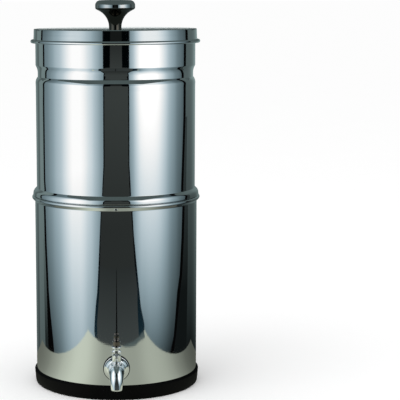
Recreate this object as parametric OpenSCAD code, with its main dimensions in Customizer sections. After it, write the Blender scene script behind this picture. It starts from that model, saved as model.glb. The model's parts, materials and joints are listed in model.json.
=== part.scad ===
// Gravity water filter: two nested stainless steel vessels, two ceramic candles, a lid and a lever tap.
// Millimetres, +Z up. The origin is on the vessels' axis, on the surface that the filter stands on.
// The tap faces -Y.

/* [Lower vessel] */
// Outer diameter of the lower vessel's wall
body_d = 240; // [200:1:280]
// Height of the lower vessel, from its underside to the top of its rolled rim
lower_h = 276.5; // [220:0.1:340]
// Thickness of the stainless sheet of both vessels and the lid
sheet = 0.8; // [0.6:0.05:1.2]
// Outer radius of the bend between the wall and the bottom
bottom_bend = 8; // [5:0.5:14]
// Height by which the middle of each vessel's bottom is pressed up
pan_rise = 4; // [2:0.5:6]
// Width of the flat band between the bend and the raised middle
foot_band = 19; // [14:0.5:26]
// How far the rolled rim stands out from the wall
rim_out = 4.3; // [3.6:0.1:6]
// Outer radius of the roll of the rim
rim_roll = 2.5; // [2:0.1:3]

/* [Base ring] */
// Height of the rubber base ring
ring_h = 21.5; // [16:0.5:30]
// Thickness of the ring's wall at its widest
ring_wall = 3.2; // [2.5:0.1:5]
// How much the ring's outside draws in from its top to its foot
ring_draft = 1.8; // [0:0.1:3]
// Thickness of the ledge under the vessel
ring_ledge = 5; // [3:0.5:8]
// Inner radius of the ring's ledge, short of the vessel's wall
ring_reach = 20; // [16:0.5:30]

/* [Upper vessel] */
// How much smaller than the lower vessel's wall the upper one is, on the radius
upper_step = 2.8; // [2:0.1:5]
// Height of the upper vessel, from its seat on the lower one to the top of its rim
upper_h = 243.4; // [220:0.1:300]
// Depth of the nested foot of the upper vessel, below its seat
nest_h = 14; // [10:0.5:24]
// Radial gap between the nested foot and the lower vessel's wall
nest_gap = 1.5; // [1:0.1:2.5]
// Height of the bead that seats the upper vessel on the lower one
bead_h = 11.3; // [9:0.1:18]
// How far the bead stays inside the lower vessel's rim
bead_setback = 1.5; // [0.8:0.1:2]
// Height from the top of the rim down to the middle of the waist groove
groove_drop = 63.4; // [40:0.1:120]
// Height of the groove's straight part
groove_h = 10.2; // [8:0.1:20]
// Height of the groove's long upper slope
groove_side = 6.6; // [5:0.1:14]
// Height of the groove's short lower slope
groove_foot = 5.2; // [4.5:0.1:12]
// How far the wall swells out just under the groove
groove_swell = 0.3; // [0:0.1:0.8]
// Depth of the groove
groove_depth = 3.1; // [1.5:0.1:5]
// Outer radius of the inward roll of the top rim
top_roll = 2; // [1.6:0.1:3]

/* [Lid and knob] */
// Radial gap between the lid's skirt and the upper vessel, at the top
lid_gap = 1.2; // [0.6:0.1:2]
// Height of the lid's skirt, from the lid's top to its lowest point
lid_h = 20.6; // [14:0.1:30]
// How much the skirt flares towards its lower edge
lid_flare = 0.7; // [0:0.1:2]
// Outer radius of the lid's top edge
lid_edge = 1.3; // [1.2:0.1:4]
// Outer radius of the roll along the lid's lower edge
lid_roll = 2.6; // [2:0.1:3.5]
// Diameter of the knob's head
knob_d = 58.5; // [54:0.1:66]
// Height of the knob
knob_h = 41.9; // [41:0.1:60]
// Diameter of the knob's neck
knob_neck_d = 18.5; // [14:0.1:26]
// Radius of the curve from the neck out to the underside of the head
knob_flare = 26.5; // [22:0.5:28]
// Radius of the knob's upper shoulder
knob_shoulder = 7.5; // [5:0.5:9]
// Thread diameter of the knob's screw
knob_screw_d = 6; // [4:0.5:8]
// Depth of the screw inside the knob
knob_thread = 18; // [10:1:24]

/* [Filter candles] */
// Distance from the vessel's axis to each candle's axis
candle_place = 58; // [50:0.5:64]
// Outer diameter of the ceramic shell
candle_d = 50; // [40:0.5:54]
// Height of the ceramic shell
candle_h = 165; // [100:1:185]
// Thickness of the ceramic wall
candle_wall = 7; // [5:0.5:10]
// Thread diameter of the candle's outlet stem
stem_d = 12; // [10:0.5:16]
// Length of the outlet stem, from the candle's underside
stem_l = 38; // [32:0.5:50]
// Diameter of the water way through the stem
stem_bore = 5; // [4:0.5:7]
// Diameter of the sealing washers in the upper vessel
seal_d = 30; // [24:0.5:36]
// Thickness of the sealing washers
seal_t = 3; // [2:0.25:5]
// Span of the wing nuts
wing_span = 36; // [28:1:44]
// Height of the wing nuts
wing_h = 9; // [7:0.5:14]

/* [Tap] */
// Height of the tap's axis above the top of the base ring
tap_rise = 25.5; // [22:0.5:80]
// Diameter of the tap's flange
flange_d = 36; // [30:0.5:42]
// Thickness of the flange
flange_t = 2.6; // [2:0.1:4]
// Diameter of the shoulder in front of the flange
collar_d = 25; // [24:0.5:30]
// Diameter of the barrel
barrel_d = 22; // [20:0.5:24]
// Length of the barrel, from the vessel's wall to the start of the bend
barrel_l = 25; // [24:0.5:34]
// Radius of the spout's bend, along its middle
spout_bend = 13; // [11.5:0.5:20]
// Outer diameter of the spout's outlet
outlet_d = 16; // [13:0.5:18]
// Wall thickness of the spout
spout_wall = 2.2; // [1.2:0.1:3]
// Length of the straight nose below the bend
spout_nose = 8.5; // [6:0.5:30]
// Thread diameter of the shank through the vessel's wall
shank_d = 16; // [14:0.5:19]
// Length of the shank inside the vessel
shank_l = 20; // [16:0.5:30]
// Bore of the shank
shank_bore = 9; // [7:0.5:10]
// Thickness of the rubber washer behind the flange, at its middle
washer_t = 2; // [1.5:0.1:3]
// Thickness of the fixing nut inside the vessel
nut_t = 7; // [5:0.5:10]

/* [Valve and lever] */
// Distance from the vessel's wall to the valve's axis
valve_out = 17; // [16.5:0.5:17.5]
// Diameter of the bonnet
bonnet_d = 12.8; // [11.6:0.1:14]
// Height of the bonnet above the barrel
bonnet_h = 13; // [13:0.5:22]
// Diameter of the hole that the valve closes
seat_d = 6; // [4:0.1:6.4]
// Diameter of the valve's stem
rod_d = 4; // [3:0.1:4.4]
// Lift of the valve from shut to full open
lift = 2.2; // [1.5:0.1:2.8]
// Wire diameter of the return spring
spring_wire = 0.7; // [0.5:0.05:0.9]
// Number of turns of the return spring
spring_turns = 6; // [4:1:9]
// Diameter of the lever's hinge pin
pin_d = 2; // [1.6:0.1:2.4]
// Height of the hinge pin above the cam's lowest face
cam_low = 3; // [2.8:0.1:3.6]
// Width of the lever's fork, across both ears
fork_w = 13; // [11:0.5:16]
// Height of the waisted hub above the hinge pin
hub_h = 8.8; // [8:0.1:12]
// Diameter of the flange on top of the hub
hub_d = 14; // [12:0.5:15]
// Diameter of the hub's waist
waist_d = 9; // [8:0.1:10]
// Diameter of the grip
grip_d = 9.8; // [8:0.1:12]
// Height of the grip
grip_h = 12.4; // [9:0.1:26]

/* [Fits] */
// Gap left between faces that rest on each other but come apart
seat_gap = 0.2; // [0.1:0.05:0.3]
// Radial gap of a screw, plug or stem in its hole
hole_gap = 0.2; // [0.1:0.05:0.4]
// Radial gap of a running fit
run_gap = 0.05; // [0.02:0.01:0.08]
// Gap between the lever's cam and the top of the bonnet, over its whole travel
cam_gap = 0.25; // [0.2:0.05:0.35]

/* [Hidden] */
$fn = 96;
vessel_fn = 180;
fit_fn = 720;

// Radii of the vessels and the lid, all to the outside of the sheet
body_r = body_d / 2;
rim_r = body_r + rim_out;
upper_r = body_r - upper_step;
nest_r = body_r - sheet - nest_gap;
bead_r = rim_r - bead_setback;
lid_r = upper_r + lid_gap + sheet;
ring_r = body_r + ring_wall;

// Heights
floor_z = ring_ledge;
rim_z = floor_z + lower_h;
seat_z = rim_z + seat_gap;
top_z = seat_z + upper_h;
lid_z = top_z + seat_gap + sheet;
lid_low_z = lid_z - lid_h;
tap_z = ring_h + tap_rise;
pan_z = seat_z - nest_h + pan_rise / 2;

// Bends of the sheet, to its middle
flare_bend = 2.5;
bead_bend = 7;
groove_crest = 2.5;
groove_corner = 1.6;
tight_bend = 1.2;
bend_steps = 8;
roll_steps = 20;

// Base ring
ring_foot = 3;
ring_bevel = 2.6;
ring_gap = 0.2;

// Knob
knob_band = 5.1;
knob_under = 3;
knob_crown = 0.8;
flare_stop = 117;
neck_min = 0.5;
washer_rim = 5;
thin_washer = 1.2;
screw_head_r = knob_screw_d * 0.95;
screw_head_h = knob_screw_d * 0.6;

// Candles
cup_floor = 4;
cup_h = 12;
cup_wall = 1.8;
cup_gap = 0.2;
core_gap = 0.3;
wing_t = 3.2;
plug_head = 5;
plug_l = 26;
candle_z = pan_z + sheet + seal_t;

// Tap, along the axis out of the wall
inner_washer_t = 3;
flange_s = washer_t + flange_t;
collar_t = 2;
flange_dish = 1.8;
shank_hole = shank_d / 2 + hole_gap;
flange_round = 1;
collar_s = flange_s + flange_dish;
collar_round = 1;
outlet_offset = 3.4;
outlet_way = 6;
inlet_offset = 4.5;
chamber_r = 5;
seat_lip = 1.2;
seat_up = 0.5;
barrel_r = barrel_d / 2;
spout_sides = 32;
bend_rings = 12;
nose_rings = 3;
spring_sides = 8;
turn_rings = 14;

// Valve and lever, up from the tap's axis
seal_disc_t = 2;
foot_t = 1.8;
foot_r = chamber_r - 0.6;
bonnet_top = barrel_r + bonnet_h;
bonnet_nose = 4;
bonnet_wall = 1.6;
cap_t = 4;
o_ring_r = 0.7;
pin_z = bonnet_top + cam_gap + cam_low;
cam_rate = lift / 90;
cam_step = 5;
ear_gap = 0.3;
eye_w = 4;
eye_r = pin_d / 2 + 1.4;
slot_w = eye_w + 2 * ear_gap;
slot_over = eye_r + 0.6;
hub_rim = 1.3;
waist_up = 0.42;
seal_low = seat_up + seat_gap / 2;
foot_low = seal_low + seal_disc_t;
screw_drop = 2.6;
pan_screw_r = 2;
pan_screw_t = 0.8;

sides = ["left", "right"];

// ---- outlines ----

function flat(p) = [p.x, p.y];
function unit(v) = v / norm(v);
function across(v) = [-v.y, v.x];

// Points on an arc round c
function arc(c, r, from, to, n) =
    [for (i = [0:n]) let (a = from + (to - from) * i / n) c + r * [cos(a), sin(a)]];

// The arc that rounds the corner a-b-c
function fillet(a, b, c, r) =
    let (u = unit(a - b), v = unit(c - b), half = acos(u * v) / 2,
         mid = b + unit(u + v) * r / sin(half),
         p = b + u * r / tan(half) - mid, q = b + v * r / tan(half) - mid,
         from = atan2(p.y, p.x), turn = atan2(q.y, q.x) - from,
         short = turn > 180 ? turn - 360 : turn < -180 ? turn + 360 : turn)
    arc(mid, r, from, from + short, bend_steps);

// Radius of the bend that leads off a slope, so long that its touch length is t
function bend_over(t, depth, height) = t / tan(atan2(depth, height) / 2);

// A line of [x, y, radius] entries with its corners rounded
function rounded(p) =
    [for (i = [0:len(p) - 1])
        each (i == 0 || i == len(p) - 1 || p[i].z == 0) ? [flat(p[i])]
            : fillet(flat(p[i - 1]), flat(p[i]), flat(p[i + 1]), p[i].z)];

// A line moved sideways by d
function beside(p, d) =
    [for (i = [0:len(p) - 1])
        let (u = unit(p[max(i, 1)] - p[max(i, 1) - 1]), last = min(i, len(p) - 2),
             v = unit(p[last + 1] - p[last]), n = unit(across(u) + across(v)))
        p[i] + n * d / (n * across(u))];

function backwards(p) = [for (i = [len(p) - 1:-1:0]) p[i]];

// The section of a sheet whose middle runs along the line p
function sheet_section(p) = concat(beside(p, sheet / 2), backwards(beside(p, -sheet / 2)));

module spun(section, fn = $fn) {
    rotate_extrude($fn = fn) polygon(section);
}

// A skin over rings of points, ended by flat caps or joined into a loop
module skin(rings, loop = false) {
    n = len(rings[0]);
    m = len(rings);
    last = loop ? m - 1 : m - 2;
    walls = [for (i = [0:last]) for (j = [0:n - 1])
        let (a = i * n, b = ((i + 1) % m) * n, k = (j + 1) % n) [a + j, b + j, b + k, a + k]];
    caps = loop ? [] : [[for (j = [0:n - 1]) j], [for (j = [n - 1:-1:0]) (m - 1) * n + j]];
    polyhedron(points = [for (r = rings) each r], faces = concat(walls, caps), convexity = 10);
}

// ---- vessels ----

// The middle line of a vessel's bottom: a raised pan, a step, a flat band and the bend
function bottom_line(r, z, rise, bend) =
    let (mid_r = r - sheet / 2, step_r = r - foot_band - bend, mid_z = z + sheet / 2, pan_bend = 1.2 * rise)
    [[0, mid_z + rise, 0], [step_r - rise, mid_z + rise, pan_bend], [step_r, mid_z, pan_bend],
     [mid_r, mid_z, bend - sheet / 2]];

function lower_line() =
    let (mid_r = body_r - sheet / 2, roll = rim_roll - sheet / 2,
         c = [rim_r - rim_roll, rim_z - rim_roll], touch = c + roll * [cos(-45), sin(-45)],
         kink = touch.y - (touch.x - mid_r))
    concat(rounded(concat(bottom_line(body_r, floor_z, pan_rise, bottom_bend),
                          [[mid_r, kink, flare_bend], [touch.x, touch.y, 0]])),
           arc(c, roll, -45 + 285 / roll_steps, 240, roll_steps - 1));

module lower_vessel() {
    color([0.74, 0.77, 0.78]) difference() {
        spun(sheet_section(lower_line()), vessel_fn);
        from_wall() translate([0, 0, -body_r / 2]) cylinder(r = shank_hole, h = body_r);
    }
}

function upper_line() =
    let (mid_r = upper_r - sheet / 2, roll = top_roll - sheet / 2, z0 = seat_z + sheet / 2,
         g = top_z - groove_drop, out = bead_r - sheet / 2, foot = g - groove_h / 2 - groove_foot,
         fall = groove_depth + groove_swell,
         hollow = min(0.6 * norm([groove_depth, groove_side]), 0.43 * groove_h),
         sweep = bend_over(hollow, groove_depth, groove_side),
         brow = bend_over(0.6 * norm([fall, groove_foot]), fall, groove_foot))
    concat(rounded(concat(
        bottom_line(nest_r, seat_z - nest_h, pan_rise / 2, bottom_bend * 0.7),
        [[nest_r - sheet / 2, z0, tight_bend], [out, z0, tight_bend],
         [out - bead_h * 0.06, z0 + bead_h * 0.56, bead_bend], [mid_r, z0 + bead_h, tight_bend],
         [mid_r, foot - 2 * groove_foot, 0], [mid_r + groove_swell, foot, brow],
         [mid_r - groove_depth, g - groove_h / 2, groove_corner],
         [mid_r - groove_depth, g + groove_h / 2, sweep],
         [mid_r, g + groove_h / 2 + groove_side, groove_crest],
         [mid_r, top_z - top_roll, 0]])),
        arc([mid_r - roll, top_z - top_roll], roll, 250 / roll_steps, 250, roll_steps - 1));

module upper_vessel() {
    color([0.76, 0.79, 0.80]) difference() {
        spun(sheet_section(upper_line()), vessel_fn);
        for (a = [0:90:270])
            rotate(a) translate([candle_place, 0, seat_z - nest_h])
                cylinder(r = stem_d / 2 + hole_gap, h = 2 * nest_h);
    }
}

module base_ring() {
    in = body_r - bottom_bend;
    bend_r = bottom_bend + ring_gap;
    color([0.05, 0.05, 0.055])
        spun(concat(
            [[body_r - ring_reach, 0]],
            rounded([[body_r, 0, 0], [ring_r - ring_draft, 0, ring_foot], [ring_r, ring_h - ring_bevel, 1.2],
                     [body_r + ring_gap + 0.4, ring_h, 0.3], [body_r + ring_gap, ring_h, 0]]),
            arc([in, ring_ledge + bottom_bend], bend_r, 0, -asin(bottom_bend / bend_r), bend_steps),
            [[body_r - ring_reach, ring_ledge]]), vessel_fn);
}

// ---- lid and knob ----

function lid_line() =
    let (roll = lid_roll - sheet / 2, foot_r = lid_r - sheet / 2 + lid_flare)
    concat(rounded([[0, lid_z - sheet / 2, 0], [lid_r - sheet / 2, lid_z - sheet / 2, lid_edge - sheet / 2],
                    [foot_r, lid_low_z + lid_roll, 0]]),
           arc([foot_r + roll, lid_low_z + lid_roll], roll, 180 + 285 / roll_steps, 465, roll_steps - 1));

module lid() {
    color([0.75, 0.78, 0.79]) difference() {
        spun(sheet_section(lid_line()), vessel_fn);
        translate([0, 0, lid_z - lid_h / 2]) cylinder(r = knob_screw_d / 2 + hole_gap, h = lid_h);
    }
}

module knob() {
    head = knob_d / 2;
    neck = knob_neck_d / 2;
    shoulder_r = head - knob_shoulder;
    shoulder_z = knob_h - knob_crown - knob_shoulder;
    under_z = shoulder_z - knob_band;
    // the flare ends short of level, where a straight cone leads on to the head's lower edge
    flare_c = [neck + knob_flare, 0];
    flare_end = flare_c + knob_flare * [cos(flare_stop), sin(flare_stop)];
    flare_z = max(neck_min, under_z - flare_end.y - (head - flare_end.x) / tan(180 - flare_stop));
    crown_r = (shoulder_r * shoulder_r + knob_crown * knob_crown) / (2 * knob_crown);
    color([0.45, 0.47, 0.49]) translate([0, 0, lid_z]) difference() {
        spun(concat([[0, 0], [neck, 0]],
                    arc(flare_c + [0, flare_z], knob_flare, 180, flare_stop, 16),
                    fillet(flare_end + [0, flare_z], [head, under_z], [head, knob_h], knob_under),
                    arc([shoulder_r, shoulder_z], knob_shoulder, 0, 86, 10),
                    arc([0, knob_h - crown_r], crown_r, 90 - asin(shoulder_r / crown_r), 90, 6)));
        translate([0, 0, -1]) cylinder(d = knob_screw_d + 2 * run_gap, h = knob_thread + 2);
    }
}

module knob_screw() {
    low = lid_z - sheet - thin_washer;
    color([0.7, 0.71, 0.72]) union() {
        translate([0, 0, low]) cylinder(d = knob_screw_d, h = sheet + thin_washer + knob_thread);
        translate([0, 0, low]) rotate([180, 0, 0]) pan_head(screw_head_r, screw_head_h);
    }
}

module knob_washer() {
    color([0.66, 0.67, 0.68]) translate([0, 0, lid_z - sheet - thin_washer])
        washer(knob_screw_d / 2 + washer_rim, knob_screw_d / 2 + hole_gap, thin_washer);
}

// ---- small turned parts ----

module washer(r, hole, t) {
    difference() {
        cylinder(r = r, h = t);
        translate([0, 0, -1]) cylinder(r = hole, h = t + 2);
    }
}

// A pan head on the z = 0 plane, with a cross recess
module pan_head(r, h) {
    difference() {
        spun(concat([[0, 0], [r, 0]], arc([r - h * 0.7, h * 0.3], h * 0.7, 0, 90, 6), [[0, h]]));
        for (a = [0, 90]) rotate(a) translate([-r / 2, -r / 10, h / 2]) cube([r, r / 5, h]);
    }
}

// A nut with two wings, its top face on z = 0
module wing_nut() {
    body = stem_d / 2 + 4;
    blade = wing_span / 2 - body + 1;
    difference() {
        union() {
            translate([0, 0, -wing_h]) cylinder(r = body, h = wing_h);
            for (a = [0, 180]) rotate(a) translate([body - 1, wing_t / 2, -wing_h]) rotate([90, 0, 0])
                linear_extrude(wing_t) difference() {
                    square([blade, wing_h - 1]);
                    translate([blade - 2, 2]) difference() {
                        translate([0, -2]) square([3, 2]);
                        circle(r = 2);
                    }
                }
        }
        translate([0, 0, -wing_h - 1]) cylinder(r = stem_d / 2 + run_gap, h = wing_h + 2);
    }
}

// ---- candles and blanking plugs ----

// Holes are 90 degrees apart: the candles stand to the left and right, the plugs front and back
module at_candle(side) {
    rotate(side == "left" ? 180 : 0) translate([candle_place, 0, candle_z]) children();
}

module at_plugs() {
    for (a = [90, 270]) rotate(a) translate([candle_place, 0, candle_z]) children();
}

function dome(r, h) = concat([[r, 0]], arc([0, h - r], r, 0, 90, 14));

module candle_shell(side) {
    in = candle_d / 2 - candle_wall;
    color([0.93, 0.91, 0.86]) at_candle(side) translate([0, 0, cup_floor])
        spun(concat(dome(candle_d / 2, candle_h), backwards(dome(in, candle_h - candle_wall))));
}

module candle_core(side) {
    color([0.09, 0.09, 0.09]) at_candle(side) translate([0, 0, cup_floor])
        spun(concat([[0, 0]], dome(candle_d / 2 - candle_wall - core_gap, candle_h - candle_wall - core_gap)));
}

module candle_base(side) {
    r = candle_d / 2 + cup_gap;
    color([0.88, 0.89, 0.90]) at_candle(side) difference() {
        union() {
            spun(concat([[0, 0]], rounded([[0, 0, 0], [r + cup_wall, 0, 2], [r + cup_wall, cup_h, 0.6],
                         [r, cup_h, 0]]), [[r, cup_floor], [0, cup_floor]]));
            translate([0, 0, -stem_l]) cylinder(d = stem_d, h = stem_l + 1);
        }
        translate([0, 0, -stem_l - 1]) cylinder(d = stem_bore, h = stem_l + cup_floor + 2);
    }
}

module candle_washer(side) {
    color([0.12, 0.12, 0.12]) at_candle(side) translate([0, 0, -seal_t])
        washer(seal_d / 2, stem_d / 2 + hole_gap, seal_t);
}

module candle_wing_nut(side) {
    color([0.90, 0.90, 0.88]) at_candle(side) translate([0, 0, -seal_t - sheet]) wing_nut();
}

module blanking_plugs() {
    color([0.90, 0.90, 0.88]) at_plugs() union() {
        spun(concat([[0, 0]], rounded([[0, 0, 0], [seal_d / 2 - 1, 0, 0], [seal_d / 2 - 1, plug_head, 2],
                                       [0, plug_head, 0]])));
        translate([0, 0, -plug_l]) cylinder(d = stem_d, h = plug_l + 1);
    }
}

module plug_washers() {
    color([0.12, 0.12, 0.12]) at_plugs() translate([0, 0, -seal_t])
        washer(seal_d / 2, stem_d / 2 + hole_gap, seal_t);
}

module plug_wing_nuts() {
    color([0.90, 0.90, 0.88]) at_plugs() translate([0, 0, -seal_t - sheet]) wing_nut();
}

// ---- tap: local z runs out of the wall along the tap's axis, local y is up ----

module from_wall() {
    translate([0, -body_r, tap_z]) rotate([90, 0, 0]) children();
}

// The valve's own axis, with z = 0 at the tap's axis
module at_valve() {
    translate([0, -body_r - valve_out, tap_z]) children();
}

module tap_body() {
    r = flange_d / 2;
    color([0.80, 0.82, 0.83]) difference() {
        union() {
            from_wall() {
                translate([0, 0, -shank_l]) cylinder(d = shank_d, h = shank_l + washer_t + 1);
                spun(concat([[0, washer_t], [r, washer_t]],
                    arc([r - flange_round, flange_s - flange_round], flange_round, 0, 90, bend_steps),
                    [[collar_d / 2, collar_s]],
                    arc([collar_d / 2 - collar_round, collar_s + collar_t - collar_round], collar_round,
                        0, 90, bend_steps),
                    [[barrel_r, collar_s + collar_t], [barrel_r, barrel_l], [0, barrel_l]]));
            }
            at_valve() cylinder(d = bonnet_d + 3, h = barrel_r + 0.2);
        }
        from_wall() {
            translate([0, 0, -shank_l - 1]) cylinder(d = shank_bore, h = shank_l + flange_s + 2);
            translate([0, -inlet_offset, washer_t]) cylinder(d = outlet_way, h = valve_out - washer_t + 2);
            translate([0, outlet_offset, valve_out]) cylinder(d = outlet_way, h = barrel_l);
        }
        at_valve() {
            translate([0, 0, -inlet_offset]) cylinder(d = seat_d, h = inlet_offset + 2);
            difference() {
                translate([0, 0, -seat_up]) cylinder(r = chamber_r, h = bonnet_top);
                translate([0, 0, -2]) cylinder(d = seat_d + 2 * seat_lip, h = 2 + seat_up);
            }
        }
    }
}

// The spout's middle line: [distance out, height, tangent angle down from level]
function spout_line() =
    let (mid = barrel_l + spout_bend)
    concat([for (i = [0:bend_rings]) let (a = 90 * i / bend_rings)
                [barrel_l + spout_bend * sin(a), -spout_bend * (1 - cos(a)), a]],
           [for (i = [1:nose_rings]) [mid, -spout_bend - spout_nose * i / nose_rings, 90]]);

// Radius of the spout at a height below the tap's axis: it narrows evenly as it drops to the outlet
function spout_r(y) = barrel_r + (barrel_r - outlet_d / 2) * y / (spout_bend + spout_nose);

function spout_ring(p, less) =
    [for (j = [0:spout_sides - 1]) let (a = 360 * j / spout_sides, r = spout_r(p[1]) - less)
        [r * cos(a), p[1] + r * sin(a) * cos(p[2]), p[0] + r * sin(a) * sin(p[2])]];

module tap_spout() {
    color([0.80, 0.82, 0.83]) from_wall()
        skin(concat([for (p = spout_line()) spout_ring(p, 0)],
                    [for (p = backwards(spout_line())) spout_ring(p, spout_wall)]), loop = true);
}

module tap_outer_washer() {
    color([0.06, 0.06, 0.06]) difference() {
        from_wall() translate([0, 0, -washer_rim]) cylinder(d = flange_d + 0.8, h = washer_t + washer_rim);
        cylinder(r = body_r, h = 2 * tap_z, $fn = fit_fn);
        from_wall() translate([0, 0, -2 * washer_rim]) cylinder(r = shank_hole, h = 4 * washer_rim);
    }
}

module tap_inner_washer() {
    color([0.06, 0.06, 0.06]) difference() {
        intersection() {
            from_wall() translate([0, 0, -sheet - inner_washer_t])
                cylinder(d = shank_d + 2 * washer_rim, h = inner_washer_t + 1);
            cylinder(r = body_r - sheet, h = 2 * tap_z, $fn = fit_fn);
        }
        from_wall() translate([0, 0, -2 * washer_rim]) cylinder(r = shank_hole, h = 4 * washer_rim);
    }
}

module tap_nut() {
    color([0.72, 0.74, 0.75]) from_wall() translate([0, 0, -sheet - inner_washer_t - nut_t]) difference() {
        cylinder(d = shank_d * 1.6, h = nut_t, $fn = 6);
        translate([0, 0, -1]) cylinder(r = shank_d / 2 + run_gap, h = nut_t + 2);
    }
}

module tap_bonnet() {
    r = bonnet_d / 2;
    guide = rod_d / 2 + run_gap;
    color([0.80, 0.82, 0.83]) at_valve() difference() {
        union() {
            spun(concat([[0, barrel_r + 0.2], [r, barrel_r + 0.2]],
                        arc([r - 0.6, bonnet_top - 0.6], 0.6, 0, 90, bend_steps), [[0, bonnet_top]]));
            translate([0, 0, barrel_r + 0.2 - bonnet_nose])
                cylinder(r = chamber_r - run_gap, h = bonnet_nose + 1);
        }
        translate([0, 0, barrel_r - bonnet_nose - 1])
            cylinder(r = r - bonnet_wall, h = bonnet_h + bonnet_nose - cap_t + 1);
        translate([0, 0, bonnet_top - cap_t - 1]) cylinder(r = guide, h = cap_t + 2);
        translate([0, 0, bonnet_top - cap_t / 2 - o_ring_r]) cylinder(r = guide + 2 * o_ring_r, h = 2 * o_ring_r);
        translate([0, 0, bonnet_top - screw_drop]) rotate([90, 0, 0])
            translate([0, 0, r - 1.4]) cylinder(r = pan_screw_r / 2 + run_gap, h = 3);
    }
}

module bonnet_screw() {
    r = bonnet_d / 2;
    color([0.82, 0.84, 0.84]) at_valve() translate([0, 0, bonnet_top - screw_drop]) rotate([90, 0, 0])
        union() {
            translate([0, 0, r - 1.2]) cylinder(r = pan_screw_r / 2, h = 1.4);
            translate([0, 0, r]) spun([[0, 0], [pan_screw_r, 0], [pan_screw_r, pan_screw_t / 2],
                                       [pan_screw_r * 0.7, pan_screw_t], [0, pan_screw_t]]);
        }
}

module stem_o_ring() {
    color([0.06, 0.06, 0.06]) at_valve() translate([0, 0, bonnet_top - cap_t / 2])
        rotate_extrude() translate([rod_d / 2 + run_gap + o_ring_r, 0]) circle(r = o_ring_r - 0.02, $fn = 24);
}

// ---- valve, which the cam lifts ----

module valve_stem() {
    color([0.76, 0.78, 0.79]) at_valve() difference() {
        union() {
            translate([0, 0, foot_low]) cylinder(r = foot_r, h = foot_t);
            translate([0, 0, foot_low]) cylinder(d = rod_d, h = pin_z - foot_low);
            translate([-eye_w / 2, 0, pin_z]) rotate([0, 90, 0]) cylinder(r = eye_r, h = eye_w);
        }
        translate([-eye_w, 0, pin_z]) rotate([0, 90, 0]) cylinder(r = pin_d / 2 + run_gap, h = 2 * eye_w);
    }
}

module valve_seal() {
    color([0.08, 0.08, 0.08]) at_valve() translate([0, 0, seal_low])
        cylinder(r = foot_r - 0.2, h = seal_disc_t);
}

module valve_spring() {
    low = foot_low + foot_t + spring_wire / 2 + 0.05;
    high = bonnet_top - cap_t - spring_wire / 2 - 0.05;
    coil_r = rod_d / 2 + spring_wire / 2 + 0.6;
    rings = [for (i = [0:spring_turns * turn_rings])
        let (a = 360 * i / turn_rings, z = low + (high - low) * i / (spring_turns * turn_rings))
        [for (j = [0:spring_sides - 1])
            let (b = 360 * j / spring_sides, r = coil_r + spring_wire / 2 * cos(b))
            [r * cos(a), r * sin(a), z + spring_wire / 2 * sin(b)]]];
    color([0.6, 0.62, 0.64]) at_valve() skin(rings);
}

// ---- lever ----

// The cam's outline round the pin: its lowest face falls away from the pin at an even rate as the
// lever tips forward, so the valve lifts in proportion to the angle
function cam_outline() =
    concat([for (a = [0:cam_step:90])
                let (h = cam_low + cam_rate * a, k = cam_rate * 180 / PI)
                h * [-sin(a), -cos(a)] + k * [-cos(a), sin(a)]],
           [[-cam_low - lift, cam_low * 0.6], [-cam_low, cam_low * 1.1]],
           arc([0, 0], cam_low, 60, -90, 15));

module lever_fork() {
    waist = waist_d / 2;
    top = hub_h;
    color([0.80, 0.82, 0.83]) at_valve() translate([0, 0, pin_z]) difference() {
        union() {
            rotate([90, 0, 90]) translate([0, 0, -fork_w / 2]) linear_extrude(fork_w) polygon(cam_outline());
            spun(concat([[0, 0], [waist, 0], [waist, top * waist_up]],
                        arc([hub_d / 2, top * waist_up], hub_d / 2 - waist, 180, 110, 8),
                        [[hub_d / 2, top - hub_rim], [hub_d / 2, top - 0.3], [hub_d / 2 - 0.3, top], [0, top]]));
        }
        translate([-slot_w / 2, -hub_d, -hub_d]) cube([slot_w, 2 * hub_d, hub_d + slot_over]);
        rotate([0, 90, 0]) translate([0, 0, -fork_w]) cylinder(d = pin_d, h = 2 * fork_w);
    }
}

module lever_grip() {
    r = grip_d / 2;
    dome_h = r * 0.85;
    color([0.42, 0.40, 0.38]) at_valve() translate([0, 0, pin_z + hub_h])
        spun(concat([[0, 0], [r - 0.4, 0], [r, 0.4]],
                    [for (a = [0:9:90]) [r * cos(a), grip_h - dome_h + dome_h * sin(a)]]));
}

module lever_pin() {
    color([0.7, 0.72, 0.73]) at_valve() translate([-fork_w / 2, 0, pin_z]) rotate([0, 90, 0])
        cylinder(d = pin_d, h = fork_w);
}

lower_vessel();
base_ring();
tap_body();
tap_spout();
tap_outer_washer();
tap_inner_washer();
tap_nut();
tap_bonnet();
bonnet_screw();
stem_o_ring();
valve_spring();
valve_stem();
valve_seal();
lever_fork();
lever_grip();
lever_pin();
upper_vessel();
blanking_plugs();
plug_washers();
plug_wing_nuts();
lid();
knob();
knob_screw();
knob_washer();
for (s = sides) {
    candle_shell(s);
    candle_core(s);
    candle_base(s);
    candle_washer(s);
    candle_wing_nut(s);
}
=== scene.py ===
"""Looks of a two-tier stainless steel gravity water filter with a lever tap, built round its CAD frame.

Metres, +Z up, the tap faces -Y. The steel shells, the knob and the base ring are respun from the frame's
own outlines as dense smooth meshes. The tap's visible parts and its spring are smoothed copies of the
frame's nodes, and every other node keeps its mesh and gets a material. The mirror finish is shown in a
light tent that only reflections see.
"""

import json
import math

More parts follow.
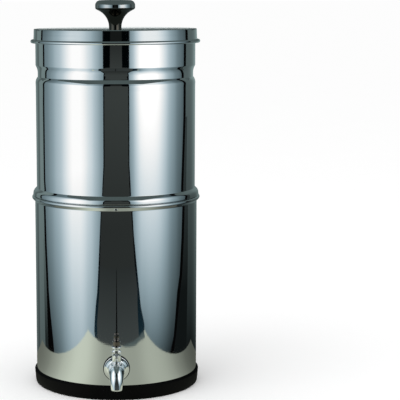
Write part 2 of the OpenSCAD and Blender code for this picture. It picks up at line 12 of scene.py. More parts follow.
import bmesh
import bpy
import numpy as np
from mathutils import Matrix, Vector


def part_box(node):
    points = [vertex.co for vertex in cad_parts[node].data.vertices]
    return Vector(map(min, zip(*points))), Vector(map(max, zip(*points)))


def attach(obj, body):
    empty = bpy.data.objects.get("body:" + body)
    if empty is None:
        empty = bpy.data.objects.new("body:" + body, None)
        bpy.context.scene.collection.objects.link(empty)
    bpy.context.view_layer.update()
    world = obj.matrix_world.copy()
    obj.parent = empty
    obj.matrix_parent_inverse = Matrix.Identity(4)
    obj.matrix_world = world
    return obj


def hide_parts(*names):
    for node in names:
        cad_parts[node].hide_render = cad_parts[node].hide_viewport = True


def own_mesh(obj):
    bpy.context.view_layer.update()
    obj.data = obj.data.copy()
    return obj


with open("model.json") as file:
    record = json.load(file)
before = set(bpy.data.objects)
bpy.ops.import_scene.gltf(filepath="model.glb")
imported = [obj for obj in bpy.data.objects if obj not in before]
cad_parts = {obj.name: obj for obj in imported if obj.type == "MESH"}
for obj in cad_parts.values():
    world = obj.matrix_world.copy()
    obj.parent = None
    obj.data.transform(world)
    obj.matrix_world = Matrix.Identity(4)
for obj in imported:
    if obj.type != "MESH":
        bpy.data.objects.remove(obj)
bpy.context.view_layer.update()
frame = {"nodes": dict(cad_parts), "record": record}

# ---- camera ----

CAMERA_AT = (0, -2.1018, 0.5687)
CAMERA_PITCH = math.radians(8.02)
CAMERA_ROLL = math.radians(0.23)
LENS_MM = 128.35
SENSOR_MM = 36
SHIFT_X = 0.2122

# ---- respun shells ----

SHELL_SIDES = 192
KNOB_SIDES = 128
KNOB_STEPS = 3
CUT_AZIMUTH = math.radians(45)
# a turn of the outline up to this belongs to a round stretch; a sharper one is an edge
CORNER = math.radians(24)
# a short piece of the outline that bends by more than this (radians) is refined
BEND = 0.001
# beside a piece this many times as long as itself, a short piece takes the whole turn between them
MUCH_LONGER = 3
# a piece longer than LONG is straight, and gets points at HOLD from its ends that keep its shading flat
LONG = 0.004
HOLD = 0.0006
SHELL_WELD = 1e-6
SLIVER = 1e-7
SHELL_CREASE = math.radians(30)

# ---- smoothed copies ----

COPY_WELD = 2e-6
COPY_CREASE = math.radians(32)
# the black washer behind the tap's flange bulges out by this factor
SEAL_BULGE = 1.04
# the spout's mouth comes forward, and from the mouth up to the tap's axis it leans back by the gain;
# out from its root the lean takes hold over the fade
SPOUT_FORWARD = 0.0012
SPOUT_GAIN = 0.0070
SPOUT_FADE = 0.010

# ---- colours ----

STEEL = (0.74, 0.765, 0.775)
PLAIN_STEEL = (0.62, 0.63, 0.64)
CHROME = (0.94, 0.955, 0.96)
KNOB_CHROME = (0.66, 0.67, 0.67)
# painted shade: the colour given to the knob below its cap for the dark reflection there, not a tone of
# the chrome
KNOB_PAINTED_SHADE = (0.11, 0.10, 0.082)
# the bright cap reaches this far down from the knob's top; below it, over the fade, the colour turns to
# painted shade, a dark brown that stands in for the dark reflection on the knob's flare and neck
KNOB_CAP = 0.0114
KNOB_FADE = 0.0014
GRIP_CHROME = (0.15, 0.13, 0.115)
RING_BLACK = (0.0007, 0.0007, 0.0008)
SEAL_BLACK = (0.012, 0.012, 0.013)
CARBON_BLACK = (0.015, 0.015, 0.015)
WHITE_PLASTIC = (0.84, 0.84, 0.81)
CERAMIC = (0.86, 0.83, 0.76)
FLOOR_LOW = (0.975, 0.975, 0.975)
FLOOR_HIGH = (0.985, 0.985, 0.985)

# the tints of what the steel mirrors
PLAIN = (1.0, 1.0, 1.0)
SLATE = (0.76, 1.0, 0.99)
WOOD = (0.935, 1.0, 0.83)
NIGHT = (0.88, 1.0, 0.95)
COOL = (0.86, 1.0, 0.98)
NAVY = (0.35, 1.0, 1.4)
SKY = (0.80, 0.84, 0.84)
# white cloth by the light on it, as (level, tint): the dimmer the cooler
CLOTH_WHITE = 1.25
CLOTH_TONES = [
    (0.00, (0.70, 1, 1.09)), (0.18, (0.72, 1, 1.10)), (0.34, (0.755, 1, 1.10)), (0.53, (0.80, 1, 1.09)),
    (0.82, (0.885, 1, 1.055)), (1.01, (0.95, 1, 1.02)), (CLOTH_WHITE, (1.03, 1, 0.985))]
# above every value of these tints: divided by it they fit a colour ramp, which holds at most 1
TONE_PEAK = 1.15

# ---- node helpers ----

# the sockets of a Mix node that mixes colours
MIX_LOW = 6
MIX_HIGH = 7
MIX_RESULT = 2


def new_material(name):
    mat = bpy.data.materials.new(name)
    mat.use_nodes = True
    tree = mat.node_tree
    return mat, tree, tree.nodes["Principled BSDF"]


def add(tree, kind, **values):
    """A new node; each value goes to its input of that name, or else to its setting."""
    node = tree.nodes.new(kind)
    for key, value in values.items():
        if key in node.inputs:
            node.inputs[key].default_value = value
        else:
            setattr(node, key, value)
    return node


def noise(tree, scale, detail=2.0, stretch=(1, 1, 1)):
    """A noise over the object's own metres, stretched along its axes."""
    place = add(tree, "ShaderNodeTexCoord")
    mapping = add(tree, "ShaderNodeMapping", Scale=stretch)
    tex = add(tree, "ShaderNodeTexNoise", Scale=scale, Detail=detail)
    tree.links.new(place.outputs["Object"], mapping.inputs["Vector"])
    tree.links.new(mapping.outputs["Vector"], tex.inputs["Vector"])
    return tex.outputs["Fac"]


def ramped(tree, value, low, high, at_low, at_high, clamp=True):
    """A value carried from the range low to high over to the range at_low to at_high."""
    span = add(tree, "ShaderNodeMapRange", clamp=clamp)
    span.inputs["From Min"].default_value = low
    span.inputs["From Max"].default_value = high
    span.inputs["To Min"].default_value = at_low
    span.inputs["To Max"].default_value = at_high
    tree.links.new(value, span.inputs["Value"])
    return span.outputs["Result"]


def uneven(tree, pattern, low, high):
    """A pattern of 0 to 1 spread over the range low to high."""
    return ramped(tree, pattern, 0, 1, low, high)


def product(tree, a, b):
    node = add(tree, "ShaderNodeMath", operation="MULTIPLY")
    tree.links.new(a, node.inputs[0])
    tree.links.new(b, node.inputs[1])
    return node.outputs[0]


def tinted(level, tint):
    return tuple(level * t for t in tint)


def blend_colour(tree, fac, low, high):
    mix = add(tree, "ShaderNodeMix", data_type="RGBA")
    tree.links.new(fac, mix.inputs[0])
    mix.inputs[MIX_LOW].default_value = (*low, 1)
    mix.inputs[MIX_HIGH].default_value = (*high, 1)
    return mix.outputs[MIX_RESULT]


def colour_ramp(tree, fac, stops):
    """A smooth ramp through (position, colour) stops, whose colours are at most 1."""
    ramp = add(tree, "ShaderNodeValToRGB")
    ramp.color_ramp.interpolation = "CARDINAL" if len(stops) > 2 else "LINEAR"
    elements = ramp.color_ramp.elements
    elements.remove(elements[1])
    for n, (position, colour) in enumerate(stops):
        stop = elements[0] if n == 0 else elements.new(position)
        stop.position = position
        stop.color = (*colour, 1)
    tree.links.new(fac, ramp.inputs["Fac"])
    return ramp.outputs["Color"]


def bump(tree, height, distance, strength=1.0, onto=None):
    node = add(tree, "ShaderNodeBump", Strength=strength, Distance=distance)
    tree.links.new(height, node.inputs["Height"])
    if onto is not None:
        tree.links.new(onto, node.inputs["Normal"])
    return node.outputs["Normal"]


def wire(tree, shader, colour, rough, normal):
    """Lets the shader take its colour, roughness and normal from these sockets."""
    tree.links.new(colour, shader.inputs["Base Color"])
    tree.links.new(rough, shader.inputs["Roughness"])
    tree.links.new(normal, shader.inputs["Normal"])


# ---- materials ----


def polished(name, colour, rough, smudge=0.04, wave=0.00012, lines=0.000004):
    """Mirror polished metal: a faint large wave, fine turning lines and a little uneven gloss."""
    mat, tree, shader = new_material(name)
    shader.inputs["Metallic"].default_value = 1.0
    wavy = bump(tree, noise(tree, scale=7, detail=1), wave)
    turning = noise(tree, scale=1, stretch=(3, 3, 900))
    wire(tree, shader,
         colour=blend_colour(tree, noise(tree, scale=9, detail=3), tinted(0.95, colour), colour),
         rough=uneven(tree, noise(tree, scale=14, detail=4), rough, rough + smudge),
         normal=bump(tree, turning, lines, onto=wavy))
    return mat


def knob_chrome_with_painted_shade(name, colour, under):
    """Polished chrome with painted shade below its bright cap: a dark brown base colour that stands in
    for the dark reflection on the knob's underside.
    """
    mat = polished(name, colour, rough=0.06, wave=0, lines=0)
    tree = mat.node_tree
    base = tree.nodes["Principled BSDF"].inputs["Base Color"]
    chrome = base.links[0].from_socket
    place = add(tree, "ShaderNodeTexCoord")
    xyz = add(tree, "ShaderNodeSeparateXYZ")
    tree.links.new(place.outputs["Object"], xyz.inputs[0])
    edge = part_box("knob")[1].z - KNOB_CAP
    # below this edge the base colour turns to the painted shade
    cap = ramped(tree, xyz.outputs["Z"], edge - KNOB_FADE, edge, 0, 1)
    mix = add(tree, "ShaderNodeMix", data_type="RGBA")
    tree.links.new(cap, mix.inputs[0])
    mix.inputs[MIX_LOW].default_value = (*under, 1)
    tree.links.new(chrome, mix.inputs[MIX_HIGH])
    tree.links.new(mix.outputs[MIX_RESULT], base)
    return mat


def machined(name, colour, rough):
    """Plain turned metal with close tool marks."""
    mat, tree, shader = new_material(name)
    shader.inputs["Metallic"].default_value = 1.0
    marks = noise(tree, scale=1, stretch=(200, 200, 5000))
    wire(tree, shader,
         colour=blend_colour(tree, noise(tree, scale=300, detail=3), tinted(0.82, colour), colour),
         rough=uneven(tree, noise(tree, scale=400, detail=3), rough, rough + 0.12),
         normal=bump(tree, marks, distance=0.00001))
    return mat


def rubber(name, colour, rough=0.5, grain=0.00006, shine=0.3):
    """Moulded rubber: near black, a little dusty in places, with a fine even grain."""
    mat, tree, shader = new_material(name)
    shader.inputs["Specular IOR Level"].default_value = shine
    dust = tuple(c * 1.6 + 0.001 for c in colour)
    wire(tree, shader,
         colour=blend_colour(tree, noise(tree, scale=25, detail=4), colour, dust),
         rough=uneven(tree, noise(tree, scale=60, detail=3), rough, rough + 0.15),
         normal=bump(tree, noise(tree, scale=2600), grain, strength=0.35))
    return mat


def plastic(name, colour, rough):
    """Moulded plastic, slightly uneven in gloss, with a faint satin grain."""
    mat, tree, shader = new_material(name)
    shader.inputs["Subsurface Weight"].default_value = 0.1
    shader.inputs["Subsurface Radius"].default_value = (0.002, 0.002, 0.002)
    wire(tree, shader,
         colour=blend_colour(tree, noise(tree, scale=60), tinted(0.96, colour), colour),
         rough=uneven(tree, noise(tree, scale=90, detail=3), rough, rough + 0.1),
         normal=bump(tree, noise(tree, scale=1500), distance=0.00002, strength=0.4))
    return mat


def porous(name, colour, rough):
    """Unglazed ceramic: matt, chalky, with pinholes and a faint mould bloom."""
    mat, tree, shader = new_material(name)
    pits = add(tree, "ShaderNodeTexVoronoi", Scale=900)
    place = add(tree, "ShaderNodeTexCoord")
    tree.links.new(place.outputs["Object"], pits.inputs["Vector"])
    coarse = bump(tree, noise(tree, scale=500, detail=5), distance=0.0001, strength=0.5)
    pitted = bump(tree, pits.outputs["Distance"], distance=0.0001, strength=0.4, onto=coarse)
    bloom = blend_colour(tree, noise(tree, scale=35, detail=6), tinted(0.9, colour), colour)
    tree.links.new(bloom, shader.inputs["Base Color"])
    shader.inputs["Roughness"].default_value = rough
    tree.links.new(pitted, shader.inputs["Normal"])
    return mat


# the material of each of the record's slots, as (function, its values)
FINISHES = {
    "upper_steel": (polished, {"colour": STEEL, "rough": 0.028, "smudge": 0.03}),
    "lower_steel": (polished, {"colour": STEEL, "rough": 0.028, "smudge": 0.03}),
    "lid_steel": (polished, {"colour": STEEL, "rough": 0.035}),
    "knob_chrome": (knob_chrome_with_painted_shade, {"colour": KNOB_CHROME, "under": KNOB_PAINTED_SHADE}),
    "tap_chrome": (polished, {"colour": CHROME, "rough": 0.05, "wave": 0.00001, "lines": 0}),
    "grip_chrome": (polished, {"colour": GRIP_CHROME, "rough": 0.08, "wave": 0, "lines": 0}),
    "plain_steel": (machined, {"colour": PLAIN_STEEL, "rough": 0.28}),
    "ring_rubber": (rubber, {"colour": RING_BLACK, "shine": 0.06}),
    "seal_rubber": (rubber, {"colour": SEAL_BLACK, "rough": 0.6}),
    "white_plastic": (plastic, {"colour": WHITE_PLASTIC, "rough": 0.35}),
    "ceramic": (porous, {"colour": CERAMIC, "rough": 0.92}),
    "carbon": (rubber, {"colour": CARBON_BLACK, "rough": 0.85, "grain": 0.0002}),
}
MATERIALS = {slot: finish(slot, **values) for slot, (finish, values) in FINISHES.items()}
SLOT_OF = {part["node"]: part["material_slot"] for part in frame["record"]["subparts"]}
BODY_OF = {node: body for body, nodes in frame["record"]["behaviour"]["bodies"].items() for node in nodes}


def dress(obj, slot):
    obj.data.materials.clear()
    obj.data.materials.append(MATERIALS[slot])


# ---- outlines taken from the frame ----


def triangles(node):
    mesh = frame["nodes"][node].data
    mesh.calc_loop_triangles()
    points = np.array([vert.co for vert in mesh.vertices])
    faces = np.array([face.vertices for face in mesh.loop_triangles])
    return points, faces


def cut_segments(node, on_axis=1e-7):
    """Where a half plane through the axis cuts the node: pairs of (radius, height) points."""
    points, faces = triangles(node)
    x, y, z = points.T
    out = x * math.cos(CUT_AZIMUTH) + y * math.sin(CUT_AZIMUTH)
    side = -x * math.sin(CUT_AZIMUTH) + y * math.cos(CUT_AZIMUTH)
    segments = []
    for face in faces:
        beyond = side[face] > 0
        if beyond.all() or not beyond.any():
            continue
        ends = []
        for i, j in ((0, 1), (1, 2), (2, 0)):
            if beyond[i] != beyond[j]:
                a, b = face[i], face[j]
                t = side[a] / (side[a] - side[b])
                ends.append((out[a] + t * (out[b] - out[a]), z[a] + t * (z[b] - z[a])))
        if min(radius for radius, _ in ends) > -on_axis:
            segments.append(ends)
    return segments


def chained(segments, grid=2e-6):
    """The cut's pieces put end to end; the longest chain, and whether it closes."""
    def key(point):
        return round(point[0] / grid), round(point[1] / grid)

    near = {}
    for n, (a, b) in enumerate(segments):
        if key(a) != key(b):
            near.setdefault(key(a), []).append((n, b))
            near.setdefault(key(b), []).append((n, a))
    place = {key(p): p for pair in segments for p in pair}
    free = [k for k, v in near.items() if len(v) == 1]
    used, best, closed = set(), [], False
    for start in free + list(near):
        here, line = start, [place[start]]
        while True:
            step = next(((n, p) for n, p in near[here] if n not in used), None)
            if step is None:
                break
            used.add(step[0])
            line.append(step[1])
            here = key(step[1])
        if len(line) > len(best):
            best, closed = line, here == start
    return np.array(best[:-1] if closed else best), closed


def off_line(a, b, c, tiny=1e-12):
    """How far b lies from the line through a and c."""
    along = c - a
    return abs(along[0] * (b - a)[1] - along[1] * (b - a)[0]) / max(np.hypot(*along), tiny)


def straightened(line, closed, slack=4e-6):
    """The line without the points that lie on a straight stretch."""
    keep = list(range(len(line)))
    dropped = True
    while dropped:
        dropped = False
        n = len(keep)
        for k in range(0 if closed else 1, n if closed else n - 1):
            if off_line(line[keep[k - 1]], line[keep[k]], line[keep[(k + 1) % n]]) < slack:
                del keep[k]
                dropped = True
                break
    return line[keep]


def turned(a, b):
    """The turn from heading a to heading b, within half a circle either way."""
    return (b - a + math.pi) % (2 * math.pi) - math.pi


def end_headings(head, reach, closed):
    """The headings at both ends of each piece: pieces that meet without a corner share their turn."""
    start, end = list(head), list(head)
    size = len(head)
    for i in range(size if closed else size - 1):
        j = (i + 1) % size
        turn = turned(head[i], head[j])
        if abs(turn) > CORNER:
            continue
        share = 0.5
        if reach[i] > MUCH_LONGER * reach[j]:
            share = 0.0
        elif reach[j] > MUCH_LONGER * reach[i]:
            share = 1.0
        end[i] = head[i] + turn * share
        start[j] = head[j] - turn * (1 - share)
    return start, end


def curved(a, b, run, leaves, arrives, steps):
    """The points inside a cubic curve from a to b that starts and ends with the given headings."""
    p = np.array([math.cos(leaves), math.sin(leaves)]) * run
    q = np.array([math.cos(arrives), math.sin(arrives)]) * run
    points = []
    for k in range(1, steps):
        t = k / steps
        h = (2 * t**3 - 3 * t**2 + 1, t**3 - 2 * t**2 + t, 3 * t**2 - 2 * t**3, t**3 - t**2)
        points.append(h[0] * a + h[1] * p + h[2] * b + h[3] * q)
    return points


def smoothed_line(line, closed, steps):
    """The outline with its round stretches refined and held edges beside the long straight ones."""
    ends = np.roll(line, -1, axis=0) if closed else line[1:]
    spans = list(zip(line, ends))
    reach = [float(np.hypot(*(b - a))) for a, b in spans]
    head = [math.atan2(b[1] - a[1], b[0] - a[0]) for a, b in spans]
    start, end = end_headings(head, reach, closed)
    out = []
    for i, (a, b) in enumerate(spans):
        bends = abs(turned(start[i], head[i])) + abs(turned(head[i], end[i]))
        out.append(a)
        if reach[i] > LONG:
            along = (b - a) / reach[i]
            out += [a + along * HOLD, b - along * HOLD]
        elif bends > BEND:
            out += curved(a, b, reach[i], start[i], end[i], steps)
    if not closed:
        out.append(line[-1])
    return np.array(out)


def outline(node, steps):
    line, closed = chained(cut_segments(node))
    return smoothed_line(straightened(line, closed), closed, steps), closed


# ---- pieces ----


def in_place_of(node, name, bm, crease):
    """A piece made of the bmesh, which stands for the node and takes its material and body."""
    bmesh.ops.recalc_face_normals(bm, faces=bm.faces)
    mesh = bpy.data.meshes.new(name)
    bm.to_mesh(mesh)
    bm.free()
    mesh.shade_smooth()
    mesh.set_sharp_from_angle(angle=crease)
    obj = bpy.data.objects.new(name, mesh)
    bpy.context.scene.collection.objects.link(obj)
    dress(obj, SLOT_OF[node])
    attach(obj, BODY_OF[node])
    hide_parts(node)
    return obj


def spun(name, node, sides=SHELL_SIDES, steps=2):
    """A node's own outline turned about the vertical axis as a dense smooth shell."""
    line, closed = outline(node, steps)
    bm = bmesh.new()
    rings = []
    for k in range(sides):
        a = 2 * math.pi * k / sides
        rings.append([bm.verts.new((r * math.cos(a), r * math.sin(a), z)) for r, z in line])
    last = len(line) if closed else len(line) - 1
    for k in range(sides):
        here, there = rings[k], rings[(k + 1) % sides]
        for i in range(last):
            j = (i + 1) % len(line)
            bm.faces.new((here[i], there[i], there[j], here[j]))
    bmesh.ops.remove_doubles(bm, verts=bm.verts, dist=SHELL_WELD)
    bmesh.ops.dissolve_degenerate(bm, edges=bm.edges, dist=SLIVER)
    return in_place_of(node, name, bm, SHELL_CREASE)


def softened(name, node, rounds=0):
    """A copy of a node with its facets welded and shaded as one smooth skin."""
    bm = bmesh.new()
    bm.from_mesh(frame["nodes"][node].data)
    bmesh.ops.remove_doubles(bm, verts=bm.verts, dist=COPY_WELD)
    obj = in_place_of(node, name, bm, COPY_CREASE)
    if rounds:
        sub = obj.modifiers.new("rounds", "SUBSURF")
        sub.levels = sub.render_levels = rounds
    return obj


def share_of(value, over):
    """How much of a stretch has been covered, from 0 to 1."""
    return min(max(value / over, 0), 1)


def tap_axis_z():
    low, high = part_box("tap_outer_washer")
    return (low.z + high.z) / 2


def spout():
    obj = softened("spout_cast", "tap_spout", rounds=1)
    low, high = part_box("tap_spout")
    mouth_z, root_y, axis_z = low.z, high.y, tap_axis_z()
    for vert in obj.data.vertices:
        back = SPOUT_GAIN * share_of(vert.co.z - mouth_z, axis_z - mouth_z)
        vert.co.y += (back - SPOUT_FORWARD) * share_of(root_y - vert.co.y, SPOUT_FADE)


def seal():
    obj = softened("tap_seal", "tap_outer_washer")
    middle = tap_axis_z()
    for vert in obj.data.vertices:
        vert.co.x *= SEAL_BULGE
        vert.co.z = middle + (vert.co.z - middle) * SEAL_BULGE


def return_spring():
    """The valve's spring as a smoothed copy of the frame's node, with a mesh of its own."""
    obj = softened("return_spring", "valve_spring", rounds=1)
    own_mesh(obj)


for node, obj in frame["nodes"].items():
    dress(obj, SLOT_OF[node])

spun("upper_vessel_shell", "upper_vessel")
spun("lower_vessel_shell", "lower_vessel")
spun("lid_shell", "lid")
spun("knob_turned", "knob", sides=KNOB_SIDES, steps=KNOB_STEPS)
spun("base_ring_moulded", "base_ring")
spout()
seal()
softened("tap_cast", "tap_body")
softened("bonnet_turned", "tap_bonnet")
softened("lever_cast", "lever_fork")
softened("grip_turned", "lever_grip")
return_spring()

# ---- light tent, seen by reflections only ----

TENT_FRONT = -0.44
TENT_BACK = 0.16
TENT_LEFT = -0.323
TENT_RIGHT = 0.318
TENT_TOP = 0.64
# how far the black box behind the cards stands out of the tent
TENT_MARGIN = 0.02
TABLE_Z = 0.0004
# the lit band across the back wall
BACK_LIT = 0.5262
BACK_LIT_TOP = 0.5292
BACK_LIT_HALF = 0.14
# how far some cards stand in front of those that they cover
ROOM_OFF = 0.002
STAND_OFF = 0.004
SHADE_OFF = 0.001

# a rise and a fall that leave a glow the same at every height
NO_RISE = (0, 0.30, 1.0)
NO_FALL = (0.50, TENT_TOP, 1.0)


def compass_and_height(tree):
    """The angle round the object from its front, positive to the right, and the height."""
    place = add(tree, "ShaderNodeNewGeometry")
    xyz = add(tree, "ShaderNodeSeparateXYZ")
    tree.links.new(place.outputs["Position"], xyz.inputs[0])
    ahead = ramped(tree, xyz.outputs["Y"], 0, 1, 0, -1, clamp=False)
    compass = add(tree, "ShaderNodeMath", operation="ARCTAN2")
    tree.links.new(xyz.outputs["X"], compass.inputs[0])
    tree.links.new(ahead, compass.inputs[1])
    return compass.outputs[0], xyz.outputs["Z"]


def cloth_tone(tree, level):
    """The colour and strength of white cloth at a level of light."""
    stops = [(at / CLOTH_WHITE, tinted(1 / TONE_PEAK, tone)) for at, tone in CLOTH_TONES]
    colour = colour_ramp(tree, ramped(tree, level, 0, CLOTH_WHITE, 0, 1), stops)
    return colour, ramped(tree, level, 0, 1, 0, TONE_PEAK, clamp=False)


def emission(name, tint, stops, rise=NO_RISE, fall=NO_FALL, lean=None, toned=False):
    """A glow that varies with the compass direction from the object, and with the height.

    stops are (degrees, level), and the tint colours them all. rise and fall are (height, height, factor):
    the level is multiplied by rise's factor at the lower height and below it, and by fall's factor at the
    upper height and above it.
    lean is (degrees, degrees, factor) and steepens the rise from the first direction to the second.
    toned colours the glow as white cloth by its level.
    """
    mat = bpy.data.materials.new(name)
    mat.use_nodes = True
    tree = mat.node_tree
    tree.nodes.clear()
    compass, height = compass_and_height(tree)
    glows = [((degrees + 180) / 360, tinted(level, tint)) for degrees, level in stops]
    peak = max(max(glow) for _, glow in glows)
    colour = colour_ramp(tree, ramped(tree, compass, -math.pi, math.pi, 0, 1),
                         [(position, tinted(1 / peak, glow)) for position, glow in glows])
    low, high, foot = rise
    missing = ramped(tree, height, low, high, 1 - foot, 0)
    if lean:
        near, far, factor = lean
        missing = product(tree, missing,
                          ramped(tree, compass, math.radians(near), math.radians(far), 1, factor))
    level = ramped(tree, missing, 0, 1, peak, 0, clamp=False)
    low, high, head = fall
    level = product(tree, level, ramped(tree, height, low, high, 1, head))
    if toned:
        colour, level = cloth_tone(tree, product(tree, level, colour))
    glow = add(tree, "ShaderNodeEmission")
    tree.links.new(colour, glow.inputs["Color"])
    tree.links.new(level, glow.inputs["Strength"])
    out = add(tree, "ShaderNodeOutputMaterial")
    tree.links.new(glow.outputs[0], out.inputs["Surface"])
    return mat


CLOTH_LEFT = emission(
    "cloth_left", PLAIN,
    [(-120, 0.20), (-95, 0.30), (-82, 0.52), (-69, 0.83), (-55, 1.31), (-45, 1.31), (-37, 1.07),
     (-28.6, 0.79), (-20, 0.47), (-12, 0.30)],
    rise=(0, 0.29, 0.50), fall=(0.50, 0.53, 0.64), lean=(-42, -80, 1.6), toned=True)
CLOTH_RIGHT = emission(
    "cloth_right", PLAIN,
    [(14, 0.36), (18, 0.49), (23.6, 0.84), (31, 1.37), (42, 1.52), (55.6, 1.32), (67, 0.75), (80, 0.355),
     (92, 0.18), (110, 0.10)],
    rise=(0, 0.42, 0.15), fall=(0.49, 0.53, 0.72), lean=(42, 72, 1.15), toned=True)
ROOM = emission("dark_room", NIGHT, [(-30, 0.056), (30, 0.060)],
                rise=(0.20, 0.41, 0.58), fall=(0.45, 0.53, 0.2))
ROOM_FOOT = emission("room_foot", COOL, [(0, 0.034)], rise=(0.01, 0.13, 1.9))
MARGINS = emission("room_margins", NAVY, [(0, 0.0012)], rise=(0, 0.14, 22.0))
GAP = emission("black_gap", PLAIN, [(0, 0.002)])
SLATE_LEFT = emission(
    "slate_left", SLATE,
    [(-180, 0.20), (-150, 0.21), (-133, 0.24), (-128.5, 0.215), (-125.5, 0.155), (-122.8, 0.13),
     (-120.8, 0.25), (-117, 0.265), (-100, 0.25)],
    rise=(0, 0.32, 0.52))
LEFT_SHADE = emission("left_shade", SLATE, [(0, 0.17)], rise=(0.02, 0.18, 0.15))
RIGHT_SHADE = emission("right_shade", SLATE, [(0, 0.055)], rise=(0.10, 0.36, 0.17))
SLATE_RIGHT = emission(
    "slate_right", SLATE,
    [(70, 0.11), (105, 0.14), (118, 0.155), (124, 0.21), (130, 0.31), (140, 0.35), (180, 0.35)],
    rise=(0, 0.45, 0.08))
BACK_BAND = emission("lit_back", SKY, [(0, 1.0)])
CEILING = emission("dark_ceiling", SLATE, [(0, 0.12)])
TABLE = emission(
    "wooden_table", WOOD,
    [(-180, 0.20), (-125, 0.16), (-90, 0.28), (-70, 0.50), (-55, 0.69), (-42, 0.76), (-30, 0.66),
     (-16, 0.43), (4, 0.42), (23, 0.42), (39, 0.52), (60, 0.46), (73, 0.33), (94, 0.17), (130, 0.11),
     (180, 0.20)])
TABLE_SHADOW = emission("table_shadow", SLATE, [(0, 0.13)])


def rectangle(u0, u1, v0, v1):
    return [(u0, v0), (u1, v0), (u1, v1), (u0, v1)]


def polygon(name, points):
    mesh = bpy.data.meshes.new(name)
    mesh.from_pydata(points, [], [list(range(len(points)))])
    return mesh


def stage_object(name, mesh, material, only_glossy=True):
    obj = bpy.data.objects.new(name, mesh)
    bpy.context.scene.collection.objects.link(obj)
    obj.data.materials.append(material)
    if only_glossy:
        obj.visible_camera = obj.visible_diffuse = obj.visible_shadow = False
        obj.visible_transmission = obj.visible_volume_scatter = False
    return obj


# each wall's points from (distance along it, height), and the way into the tent
WALLS = {
    "front": (lambda u, z: (u, TENT_FRONT, z), (0, 1, 0)),
    "back": (lambda u, z: (u, TENT_BACK, z), (0, -1, 0)),
    "left": (lambda u, z: (TENT_LEFT, u, z), (1, 0, 0)),
    "right": (lambda u, z: (TENT_RIGHT, u, z), (-1, 0, 0)),
}


def card(name, wall, corners, material, off=0):
    """A flat card in one wall of the tent, or off it; corners are (distance along the wall, height)."""
    point, inward = WALLS[wall]
    obj = stage_object(name, polygon(name, [point(u, z) for u, z in corners]), material)
    obj.location = Vector(inward) * off


def up_to(edge, end):
    """The corners of a wall's part between its end and an edge that runs from the table to the top."""
    return [(end, 0)] + edge + [(end, TENT_TOP)]


# the front wall: two curtains that part towards the table, and the dark room between them
CURTAIN_LEFT = [
    (-0.220, 0), (-0.230, 0.01), (-0.224, 0.03), (-0.208, 0.06), (-0.190, 0.084), (-0.174, 0.13),
    (-0.159, 0.18), (-0.136, 0.25), (-0.120, 0.30), (-0.120, TENT_TOP)]
CURTAIN_RIGHT = [
    (0.312, 0), (0.316, 0.01), (0.300, 0.022), (0.262, 0.048), (0.236, 0.084), (0.205, 0.13),
    (0.175, 0.18), (0.150, 0.25), (0.134, 0.30), (0.134, TENT_TOP)]
ROOM_LEFT = [
    (-0.158, 0.13), (-0.149, 0.18), (-0.126, 0.25), (-0.107, 0.30), (-0.107, 0.435), (-0.096, 0.445),
    (-0.052, 0.455), (-0.038, TENT_TOP)]
ROOM_RIGHT = [
    (0.183, 0.13), (0.162, 0.18), (0.136, 0.25), (0.122, 0.30), (0.121, 0.435), (0.112, 0.445),
    (0.062, 0.455), (0.052, TENT_TOP)]
ROOM_FOOT_CORNERS = [
    (-0.190, 0), (0.232, 0), (0.230, 0.01), (0.222, 0.03), (0.215, 0.06), (0.215, 0.084), ROOM_RIGHT[0],
    ROOM_LEFT[0], (-0.168, 0.08), (-0.194, 0.03)]
STAND_CORNERS = [(-0.006, 0.010), (0.009, 0.010), (0.004, 0.130), (0.001, 0.130)]

# the side walls: a narrow black slit parts the curtains' cloth from slate, which is in shade beside it
LEFT_SLIT_FRONT = [
    (-0.036, 0), (-0.020, 0.03), (0.004, 0.065), (0.023, 0.10), (0.031, 0.13), (0.047, 0.18),
    (0.055, 0.23), (0.088, 0.275), (0.091, 0.32), (0.091, 0.40), (0.081, 0.46), (0.081, TENT_TOP)]
LEFT_SLIT_LOW = [(0.039, 0), (0.055, 0.10), (0.063, 0.13), (0.080, 0.18)]
LEFT_SLIT_BACK = LEFT_SLIT_LOW + [
    (0.088, 0.23), (0.121, 0.275), (0.124, 0.32), (0.124, 0.40), (0.112, 0.46), (0.112, TENT_TOP)]
RIGHT_SLIT_FRONT = [
    (-0.124, 0), (-0.088, 0.03), (-0.071, 0.065), (-0.056, 0.10), (-0.029, 0.13), (-0.009, 0.19),
    (0.006, 0.27), (0.034, 0.38), (0.042, TENT_TOP)]
RIGHT_SLIT_LOW = [
    (-0.092, 0), (-0.066, 0.03), (-0.045, 0.065), (-0.023, 0.10), (0.002, 0.13), (0.022, 0.19),
    (0.038, 0.27), (0.069, 0.38)]
RIGHT_SLIT_BACK = RIGHT_SLIT_LOW + [(0.081, TENT_TOP)]
LEFT_SHADE_CORNERS = [(0.086, 0)] + LEFT_SLIT_LOW + [(0.102, 0.18), (0.098, 0.10)]
RIGHT_SHADE_CORNERS = RIGHT_SLIT_LOW + [(0.099, 0.38), (0.082, 0.27), (0.082, 0.15), (0.062, 0)]

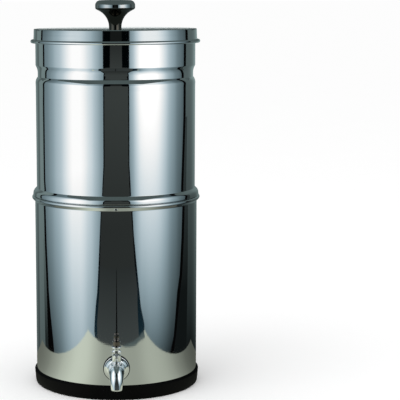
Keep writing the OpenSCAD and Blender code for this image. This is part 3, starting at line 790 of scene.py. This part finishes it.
card("curtain_left", "front", up_to(CURTAIN_LEFT, TENT_LEFT), CLOTH_LEFT)
card("curtain_right", "front", up_to(CURTAIN_RIGHT, TENT_RIGHT), CLOTH_RIGHT)
card("room_shade", "front", CURTAIN_RIGHT + CURTAIN_LEFT[::-1], MARGINS)
card("room_foot", "front", ROOM_FOOT_CORNERS, ROOM_FOOT, off=ROOM_OFF)
card("room_middle", "front", ROOM_RIGHT + ROOM_LEFT[::-1], ROOM, off=ROOM_OFF)
card("dark_stand", "front", STAND_CORNERS, GAP, off=STAND_OFF)
card("side_left", "left", up_to(LEFT_SLIT_FRONT, TENT_FRONT), CLOTH_LEFT)
card("side_right", "right", up_to(RIGHT_SLIT_FRONT, TENT_FRONT), CLOTH_RIGHT)
card("slate_left", "left", up_to(LEFT_SLIT_BACK, TENT_BACK), SLATE_LEFT)
card("slate_left_shade", "left", LEFT_SHADE_CORNERS, LEFT_SHADE, off=SHADE_OFF)
card("slate_right", "right", up_to(RIGHT_SLIT_BACK, TENT_BACK), SLATE_RIGHT)
card("slate_right_shade", "right", RIGHT_SHADE_CORNERS, RIGHT_SHADE, off=SHADE_OFF)
card("back_left", "back", rectangle(TENT_LEFT, 0, 0, BACK_LIT), SLATE_LEFT)
card("back_right", "back", rectangle(TENT_RIGHT, 0, 0, BACK_LIT), SLATE_RIGHT)
card("back_lit", "back", rectangle(BACK_LIT_HALF, -BACK_LIT_HALF, BACK_LIT, BACK_LIT_TOP), BACK_BAND)
card("back_top", "back", rectangle(TENT_RIGHT, TENT_LEFT, BACK_LIT_TOP, TENT_TOP), CEILING)


def tent_corners(out):
    return rectangle(TENT_LEFT - out, TENT_RIGHT + out, TENT_FRONT - out, TENT_BACK + out)


def level_sheet(name, corners, z, material, only_glossy=True):
    stage_object(name, polygon(name, [(x, y, z) for x, y in corners]), material, only_glossy)


def box_mesh(name, corners, low, high):
    verts = [(x, y, z) for z in (low, high) for x, y in corners]
    sides = [(i, (i + 1) % 4, 4 + (i + 1) % 4, 4 + i) for i in range(4)]
    mesh = bpy.data.meshes.new(name)
    mesh.from_pydata(verts, [], [(0, 1, 2, 3), (4, 5, 6, 7)] + sides)
    return mesh


# where the table's near right end lies in shadow
SHADOW_CORNERS = [
    (0.03, -0.45), (0.07, -0.425), (0.128, -0.410), (0.166, -0.402), (0.190, -0.404), (0.215, -0.408),
    (0.240, -0.405), (0.285, -0.393), (0.310, -0.45)]

stage_object("tent_gaps",
             box_mesh("tent_gaps", tent_corners(TENT_MARGIN), -TENT_MARGIN, TENT_TOP + TENT_MARGIN), GAP)
level_sheet("tent_ceiling", tent_corners(TENT_MARGIN), TENT_TOP, CEILING)
level_sheet("tent_skirt", tent_corners(TENT_MARGIN), TABLE_Z / 2, GAP)
level_sheet("tent_table", tent_corners(0), TABLE_Z, TABLE)
level_sheet("table_shadow", SHADOW_CORNERS, 2 * TABLE_Z, TABLE_SHADOW)

# ---- floor, world, lamp and camera ----

# the floor reaches so far that it meets the white world at the horizon
FLOOR_HALF = 400


def floor_material():
    mat, tree, shader = new_material("pale_floor")
    colour = blend_colour(tree, noise(tree, scale=3), FLOOR_LOW, FLOOR_HIGH)
    tree.links.new(colour, shader.inputs["Base Color"])
    shader.inputs["Roughness"].default_value = 1.0
    shader.inputs["Specular IOR Level"].default_value = 0.0
    return mat


def white_world():
    world = bpy.data.worlds.new("studio")
    world.use_nodes = True
    sky = world.node_tree.nodes["Background"]
    sky.inputs["Color"].default_value = (1, 1, 1, 1)
    sky.inputs["Strength"].default_value = 1.0
    bpy.context.scene.world = world


def softbox(name, at, aim, size, power):
    light = bpy.data.lights.new(name, "AREA")
    light.shape = "SQUARE"
    light.size = size
    light.energy = power
    obj = bpy.data.objects.new(name, light)
    obj.location = at
    obj.rotation_euler = (Vector(aim) - Vector(at)).to_track_quat("-Z", "Y").to_euler()
    obj.visible_glossy = False
    bpy.context.scene.collection.objects.link(obj)


def photo_camera():
    camera = bpy.data.objects.new("camera", bpy.data.cameras.new("camera"))
    camera.data.lens = LENS_MM
    camera.data.sensor_width = SENSOR_MM
    camera.data.shift_x = SHIFT_X
    camera.location = CAMERA_AT
    camera.rotation_euler = (math.pi / 2 - CAMERA_PITCH, CAMERA_ROLL, 0)
    bpy.context.scene.collection.objects.link(camera)
    bpy.context.scene.camera = camera


floor_corners = rectangle(-FLOOR_HALF, FLOOR_HALF, -FLOOR_HALF, FLOOR_HALF)
level_sheet("pale_floor", floor_corners, 0, floor_material(), only_glossy=False)
white_world()
softbox("top_softbox", at=(-0.9, -0.9, 1.9), aim=(0, 0, 0.2), size=1.4, power=9)
photo_camera()
bpy.context.scene.view_settings.view_transform = "Standard"
